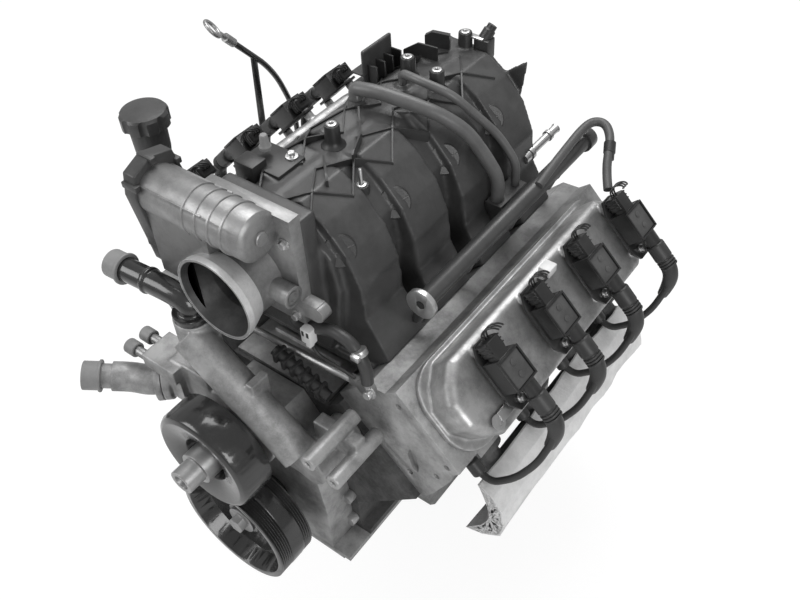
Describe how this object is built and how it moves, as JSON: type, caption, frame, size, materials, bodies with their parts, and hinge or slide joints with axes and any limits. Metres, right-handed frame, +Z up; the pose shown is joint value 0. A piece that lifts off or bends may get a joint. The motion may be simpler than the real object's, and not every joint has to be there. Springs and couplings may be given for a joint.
{
  "type": "truck engine",
  "caption": "V-type pushrod truck engine with intake manifold, throttle body, coils, water pump, oil pan and a working timing drive inside.",
  "frame": {"origin": "On the crankshaft axis at the block's rear face, where the transmission bolts on", "axes": "+Y rearwards along the crankshaft, +X to the driver's side bank, +Z up"},
  "size_m": [0.7673, 0.7493, 0.828],
  "materials": {
    "iron": "rough cast, dull",
    "cast_alloy": "as cast, slightly soiled",
    "machined": "machined",
    "bright_alloy": "bright machined alloy",
    "black_paint": "gloss black paint",
    "moulded": "moulded, satin",
    "coil_black": "moulded, fine grain",
    "rubber": "dull rubber",
    "zinc": "zinc plated",
    "shield": "thin embossed sheet",
    "exhaust": "heat stained iron",
    "steel": "plain steel",
    "rail_paint": "satin dark coating",
    "fibre": "coated fibre sheet",
    "cap_grey": "moulded, soft"
  },
  "bodies": {
    "engine": {"engine_block": "iron", "main_bearing_caps": "iron", "timing_chain": "steel", "front_cover": "cast_alloy", "oil_pump": "cast_alloy", "rear_cover": "cast_alloy", "valley_cover": "cast_alloy", "oil_pan": "cast_alloy", "oil_filter": "black_paint", "drain_plug": "zinc", "core_plugs": "zinc", "head_gaskets": "fibre", "left_head": "cast_alloy", "right_head": "cast_alloy", "left_valve_cover": "cast_alloy", "right_valve_cover": "cast_alloy", "left_coils": "coil_black", "right_coils": "coil_black", "coil_screws": "zinc", "plug_leads": "rubber", "spark_plugs": "zinc", "left_exhaust_manifold": "exhaust", "right_exhaust_manifold": "exhaust", "heat_shields": "shield", "intake_manifold": "moulded", "intake_bolts": "zinc", "throttle_body": "bright_alloy", "throttle_gear_cover": "moulded", "fuel_rails": "rail_paint", "injectors": "coil_black", "water_pump_housing": "cast_alloy", "pump_back_plate": "steel", "thermostat_neck": "bright_alloy", "outlet_elbow": "moulded", "port_caps": "cap_grey", "oil_filler_tube": "moulded", "dipstick_tube": "steel", "hoses": "rubber", "purge_valve": "coil_black", "coolant_pipes": "steel"},
    "crank": {"crankshaft": "machined", "crank_sprocket": "steel", "crank_pulley": "black_paint", "crank_bolt": "steel"},
    "cam": {"camshaft": "machined", "cam_sprocket": "steel"},
    "pump_rotor": {"pump_shaft": "machined", "pump_pulley": "black_paint", "fan_hub": "machined"},
    "throttle_plate": {"throttle_plate": "machined"},
    "oil_filler_cap": {"oil_filler_cap": "moulded"},
    "dipstick": {"dipstick": "cap_grey"},
    "piston_left_1": {"piston_left_1": "bright_alloy"},
    "piston_left_2": {"piston_left_2": "bright_alloy"},
    "piston_left_3": {"piston_left_3": "bright_alloy"},
    "piston_left_4": {"piston_left_4": "bright_alloy"},
    "piston_right_1": {"piston_right_1": "bright_alloy"},
    "piston_right_2": {"piston_right_2": "bright_alloy"},
    "piston_right_3": {"piston_right_3": "bright_alloy"},
    "piston_right_4": {"piston_right_4": "bright_alloy"}
  },
  "joints": [
    {"name": "crank_spin", "type": "hinge", "parent": "engine", "child": "crank", "pos_m": [0, -0.26, 0], "axis": [0, 1, 0], "continuous": true, "deforming": ["timing_chain"]},
    {"name": "cam_spin", "type": "hinge", "parent": "engine", "child": "cam", "pos_m": [0, -0.26, 0.1248], "axis": [0, 1, 0], "continuous": true},
    {"name": "pump_spin", "type": "hinge", "parent": "engine", "child": "pump_rotor", "pos_m": [0, -0.65, 0.179], "axis": [0, 1, 0], "continuous": true},
    {"name": "throttle_turn", "type": "hinge", "parent": "engine", "child": "throttle_plate", "pos_m": [0, -0.534, 0.408], "axis": [1, 0, 0], "range_deg": [0, 82], "stiffness_Nm_per_rad": 0.25, "springref_deg": -17.19},
    {"name": "filler_cap_twist", "type": "hinge", "parent": "engine", "child": "oil_filler_cap", "pos_m": [-0.283, -0.425, 0.454], "axis": [0, 0, 1], "range_deg": [0, 90]},
    {"name": "dipstick_pull", "type": "slide", "parent": "engine", "child": "dipstick", "axis": [0, -0.6641, 0.7476], "range_m": [0, 0.12]},
    {"name": "piston_left_1_stroke", "type": "slide", "parent": "engine", "child": "piston_left_1", "axis": [0.7071, 0, 0.7071], "range_m": [-0.092, 0]},
    {"name": "piston_left_2_stroke", "type": "slide", "parent": "engine", "child": "piston_left_2", "axis": [0.7071, 0, 0.7071], "range_m": [-0.039, 0.053]},
    {"name": "piston_left_3_stroke", "type": "slide", "parent": "engine", "child": "piston_left_3", "axis": [0.7071, 0, 0.7071], "range_m": [-0.039, 0.053]},
    {"name": "piston_left_4_stroke", "type": "slide", "parent": "engine", "child": "piston_left_4", "axis": [0.7071, 0, 0.7071], "range_m": [0, 0.092]},
    {"name": "piston_right_1_stroke", "type": "slide", "parent": "engine", "child": "piston_right_1", "axis": [-0.7071, 0, 0.7071], "range_m": [-0.039, 0.053]},
    {"name": "piston_right_2_stroke", "type": "slide", "parent": "engine", "child": "piston_right_2", "axis": [-0.7071, 0, 0.7071], "range_m": [0, 0.092]},
    {"name": "piston_right_3_stroke", "type": "slide", "parent": "engine", "child": "piston_right_3", "axis": [-0.7071, 0, 0.7071], "range_m": [-0.092, 0]},
    {"name": "piston_right_4_stroke", "type": "slide", "parent": "engine", "child": "piston_right_4", "axis": [-0.7071, 0, 0.7071], "range_m": [-0.039, 0.053]}
  ],
  "couplings": [
    {"joint": "cam_spin", "follows": "crank_spin", "ratio": 0.5}
  ]
}
